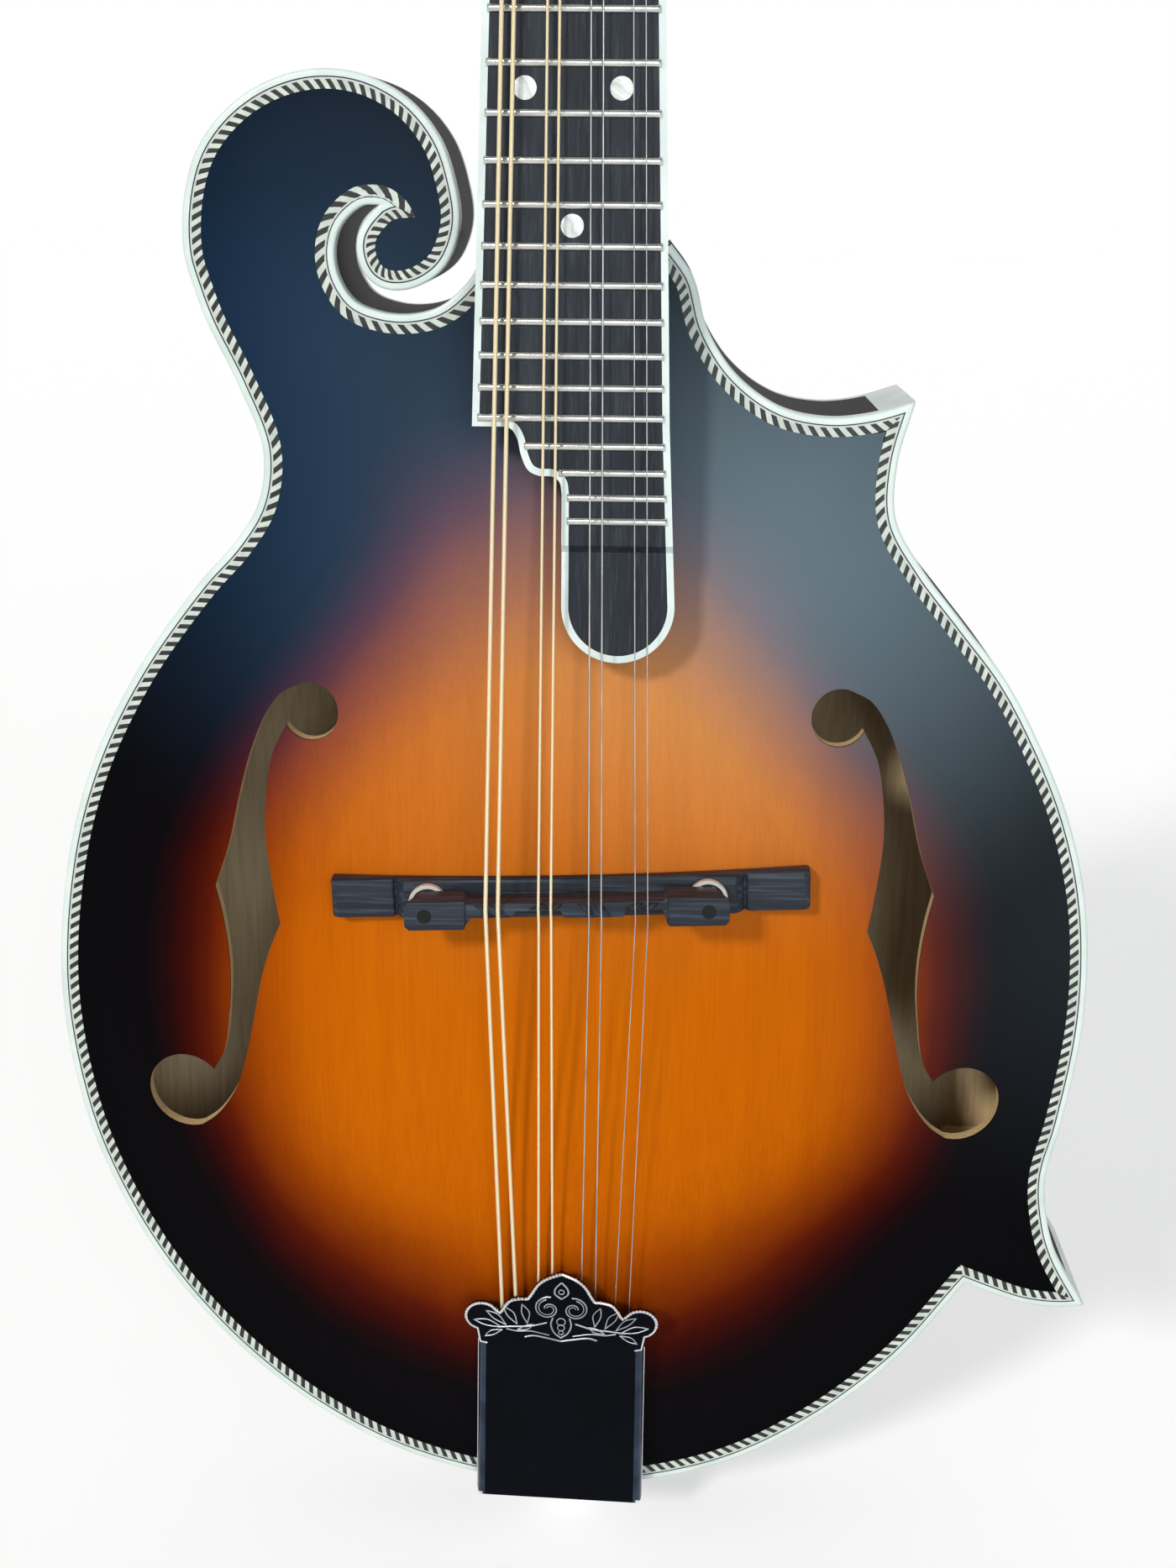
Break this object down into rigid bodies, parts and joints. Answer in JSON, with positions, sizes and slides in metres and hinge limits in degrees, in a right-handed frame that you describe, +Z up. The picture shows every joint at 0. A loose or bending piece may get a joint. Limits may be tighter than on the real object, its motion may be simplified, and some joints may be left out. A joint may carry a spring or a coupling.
{
  "type": "f-style mandolin",
  "caption": "Carved f-style mandolin with a scroll, two points, f-holes, raised fretboard, adjustable bridge, tailpiece with sliding cover and geared tuning machines.",
  "frame": {"origin": "centre line at the nut, in the plane of the body's front rim", "axes": "+Z up the neck to the headstock, -Y out of the strings' face, +X to the treble side"},
  "size_m": [0.2624, 0.0955, 0.6967],
  "materials": {
    "sunburst_spruce": "satin sunburst over fine straight grain",
    "dark_maple": "satin, near black-brown",
    "ivory_binding": "satin cream",
    "inner_wood": "bare",
    "ebony": "oiled, streaked",
    "bone": "polished",
    "black_plastic": "gloss",
    "steel": "drawn wire",
    "wound_string": "fine winding",
    "brass": "machined",
    "plated_metal": "dark plated",
    "pearl_button": "pearl"
  },
  "bodies": {
    "body": {"top_plate": "sunburst_spruce", "back_plate": "dark_maple", "top_binding": "ivory_binding", "back_binding": "ivory_binding", "rib_bass": "dark_maple", "rib_treble_tail": "dark_maple", "rib_treble_waist": "dark_maple", "rib_treble_shoulder": "dark_maple", "head_block": "inner_wood", "tail_block": "inner_wood", "scroll_block": "inner_wood", "upper_point_block": "inner_wood", "lower_point_block": "inner_wood", "front_lining": "inner_wood", "back_lining": "inner_wood", "tone_bar_bass": "inner_wood", "tone_bar_treble": "inner_wood", "neck": "dark_maple", "fretboard": "ebony", "fretboard_binding": "ivory_binding", "headstock_veneer": "ebony", "nut": "bone", "truss_rod": "steel", "truss_rod_cover": "black_plastic", "bridge_base": "ebony", "bridge_post_bass": "brass", "bridge_post_treble": "brass", "tailpiece_base": "plated_metal", "end_pin": "plated_metal", "tuner_plate_bass": "plated_metal", "tuner_plate_treble": "plated_metal", "string_g_1": "wound_string", "string_g_2": "wound_string", "string_d_1": "wound_string", "string_d_2": "wound_string", "string_a_1": "steel", "string_a_2": "steel", "string_e_1": "steel", "string_e_2": "steel"},
    "tuner_key_bass_1": {"tuner_key_bass_1": "pearl_button"},
    "tuner_post_bass_1": {"tuner_post_bass_1": "brass"},
    "tuner_key_bass_2": {"tuner_key_bass_2": "pearl_button"},
    "tuner_post_bass_2": {"tuner_post_bass_2": "brass"},
    "tuner_key_bass_3": {"tuner_key_bass_3": "pearl_button"},
    "tuner_post_bass_3": {"tuner_post_bass_3": "brass"},
    "tuner_key_bass_4": {"tuner_key_bass_4": "pearl_button"},
    "tuner_post_bass_4": {"tuner_post_bass_4": "brass"},
    "tuner_key_treble_1": {"tuner_key_treble_1": "pearl_button"},
    "tuner_post_treble_1": {"tuner_post_treble_1": "brass"},
    "tuner_key_treble_2": {"tuner_key_treble_2": "pearl_button"},
    "tuner_post_treble_2": {"tuner_post_treble_2": "brass"},
    "tuner_key_treble_3": {"tuner_key_treble_3": "pearl_button"},
    "tuner_post_treble_3": {"tuner_post_treble_3": "brass"},
    "tuner_key_treble_4": {"tuner_key_treble_4": "pearl_button"},
    "tuner_post_treble_4": {"tuner_post_treble_4": "brass"},
    "bridge_saddle": {"bridge_saddle": "ebony"},
    "thumbwheel_bass": {"thumbwheel_bass": "brass"},
    "thumbwheel_treble": {"thumbwheel_treble": "brass"},
    "truss_rod_nut": {"truss_rod_nut": "brass"},
    "tailpiece_cover": {"tailpiece_cover": "plated_metal"}
  },
  "joints": [
    {"name": "tuner_key_bass_1_turn", "type": "hinge", "parent": "body", "child": "tuner_key_bass_1", "pos_m": [-0.0395, 0.02372, 0.01728], "axis": [1, 0, 0], "continuous": true},
    {"name": "tuner_post_bass_1_turn", "type": "hinge", "parent": "body", "child": "tuner_post_bass_1", "pos_m": [-0.0195, 0.00792, 0.02953], "axis": [0, 0.9516, -0.3074], "continuous": true},
    {"name": "tuner_key_bass_2_turn", "type": "hinge", "parent": "body", "child": "tuner_key_bass_2", "pos_m": [-0.0395, 0.03079, 0.03916], "axis": [1, 0, 0], "continuous": true},
    {"name": "tuner_post_bass_2_turn", "type": "hinge", "parent": "body", "child": "tuner_post_bass_2", "pos_m": [-0.0195, 0.01499, 0.05141], "axis": [0, 0.9516, -0.3074], "continuous": true},
    {"name": "tuner_key_bass_3_turn", "type": "hinge", "parent": "body", "child": "tuner_key_bass_3", "pos_m": [-0.0395, 0.03786, 0.06105], "axis": [1, 0, 0], "continuous": true},
    {"name": "tuner_post_bass_3_turn", "type": "hinge", "parent": "body", "child": "tuner_post_bass_3", "pos_m": [-0.0195, 0.02206, 0.0733], "axis": [0, 0.9516, -0.3074], "continuous": true},
    {"name": "tuner_key_bass_4_turn", "type": "hinge", "parent": "body", "child": "tuner_key_bass_4", "pos_m": [-0.0395, 0.04493, 0.08294], "axis": [1, 0, 0], "continuous": true},
    {"name": "tuner_post_bass_4_turn", "type": "hinge", "parent": "body", "child": "tuner_post_bass_4", "pos_m": [-0.0195, 0.02913, 0.09519], "axis": [0, 0.9516, -0.3074], "continuous": true},
    {"name": "tuner_key_treble_1_turn", "type": "hinge", "parent": "body", "child": "tuner_key_treble_1", "pos_m": [0.0395, 0.02372, 0.01728], "axis": [1, 0, 0], "continuous": true},
    {"name": "tuner_post_treble_1_turn", "type": "hinge", "parent": "body", "child": "tuner_post_treble_1", "pos_m": [0.0195, 0.00792, 0.02953], "axis": [0, 0.9516, -0.3074], "continuous": true},
    {"name": "tuner_key_treble_2_turn", "type": "hinge", "parent": "body", "child": "tuner_key_treble_2", "pos_m": [0.0395, 0.03079, 0.03916], "axis": [1, 0, 0], "continuous": true},
    {"name": "tuner_post_treble_2_turn", "type": "hinge", "parent": "body", "child": "tuner_post_treble_2", "pos_m": [0.0195, 0.01499, 0.05141], "axis": [0, 0.9516, -0.3074], "continuous": true},
    {"name": "tuner_key_treble_3_turn", "type": "hinge", "parent": "body", "child": "tuner_key_treble_3", "pos_m": [0.0395, 0.03786, 0.06105], "axis": [1, 0, 0], "continuous": true},
    {"name": "tuner_post_treble_3_turn", "type": "hinge", "parent": "body", "child": "tuner_post_treble_3", "pos_m": [0.0195, 0.02206, 0.0733], "axis": [0, 0.9516, -0.3074], "continuous": true},
    {"name": "tuner_key_treble_4_turn", "type": "hinge", "parent": "body", "child": "tuner_key_treble_4", "pos_m": [0.0395, 0.04493, 0.08294], "axis": [1, 0, 0], "continuous": true},
    {"name": "tuner_post_treble_4_turn", "type": "hinge", "parent": "body", "child": "tuner_post_treble_4", "pos_m": [0.0195, 0.02913, 0.09519], "axis": [0, 0.9516, -0.3074], "continuous": true},
    {"name": "saddle_height", "type": "slide", "parent": "body", "child": "bridge_saddle", "axis": [0, -1, 0], "range_m": [-0.00079, 0.00158], "deforming": ["string_g_1", "string_g_2", "string_d_1", "string_d_2", "string_a_1", "string_a_2", "string_e_1", "string_e_2"]},
    {"name": "thumbwheel_bass_turn", "type": "hinge", "parent": "bridge_saddle", "child": "thumbwheel_bass", "pos_m": [-0.03318, -0.021, -0.35524], "axis": [0, -1, 0], "range_deg": [-361, 721]},
    {"name": "thumbwheel_treble_turn", "type": "hinge", "parent": "bridge_saddle", "child": "thumbwheel_treble", "pos_m": [0.03318, -0.021, -0.35292], "axis": [0, -1, 0], "range_deg": [-361, 721]},
    {"name": "truss_rod_nut_turn", "type": "hinge", "parent": "body", "child": "truss_rod_nut", "pos_m": [0, 0.00799, 0.01276], "axis": [0, 0.068, 0.9977], "range_deg": [-360, 360]},
    {"name": "cover_slide", "type": "slide", "parent": "body", "child": "tailpiece_cover", "axis": [-0.0131, 0.1736, -0.9847], "range_m": [0, 0.07]}
  ],
  "couplings": [
    {"joint": "tuner_post_bass_1_turn", "follows": "tuner_key_bass_1_turn", "ratio": 0.083333},
    {"joint": "tuner_post_bass_2_turn", "follows": "tuner_key_bass_2_turn", "ratio": 0.083333},
    {"joint": "tuner_post_bass_3_turn", "follows": "tuner_key_bass_3_turn", "ratio": 0.083333},
    {"joint": "tuner_post_bass_4_turn", "follows": "tuner_key_bass_4_turn", "ratio": 0.083333},
    {"joint": "tuner_post_treble_1_turn", "follows": "tuner_key_treble_1_turn", "ratio": -0.083333},
    {"joint": "tuner_post_treble_2_turn", "follows": "tuner_key_treble_2_turn", "ratio": -0.083333},
    {"joint": "tuner_post_treble_3_turn", "follows": "tuner_key_treble_3_turn", "ratio": -0.083333},
    {"joint": "tuner_post_treble_4_turn", "follows": "tuner_key_treble_4_turn", "ratio": -0.083333},
    {"joint": "thumbwheel_bass_turn", "follows": "saddle_height", "rad_per_m": 7953.4},
    {"joint": "thumbwheel_treble_turn", "follows": "saddle_height", "rad_per_m": 7953.4}
  ]
}
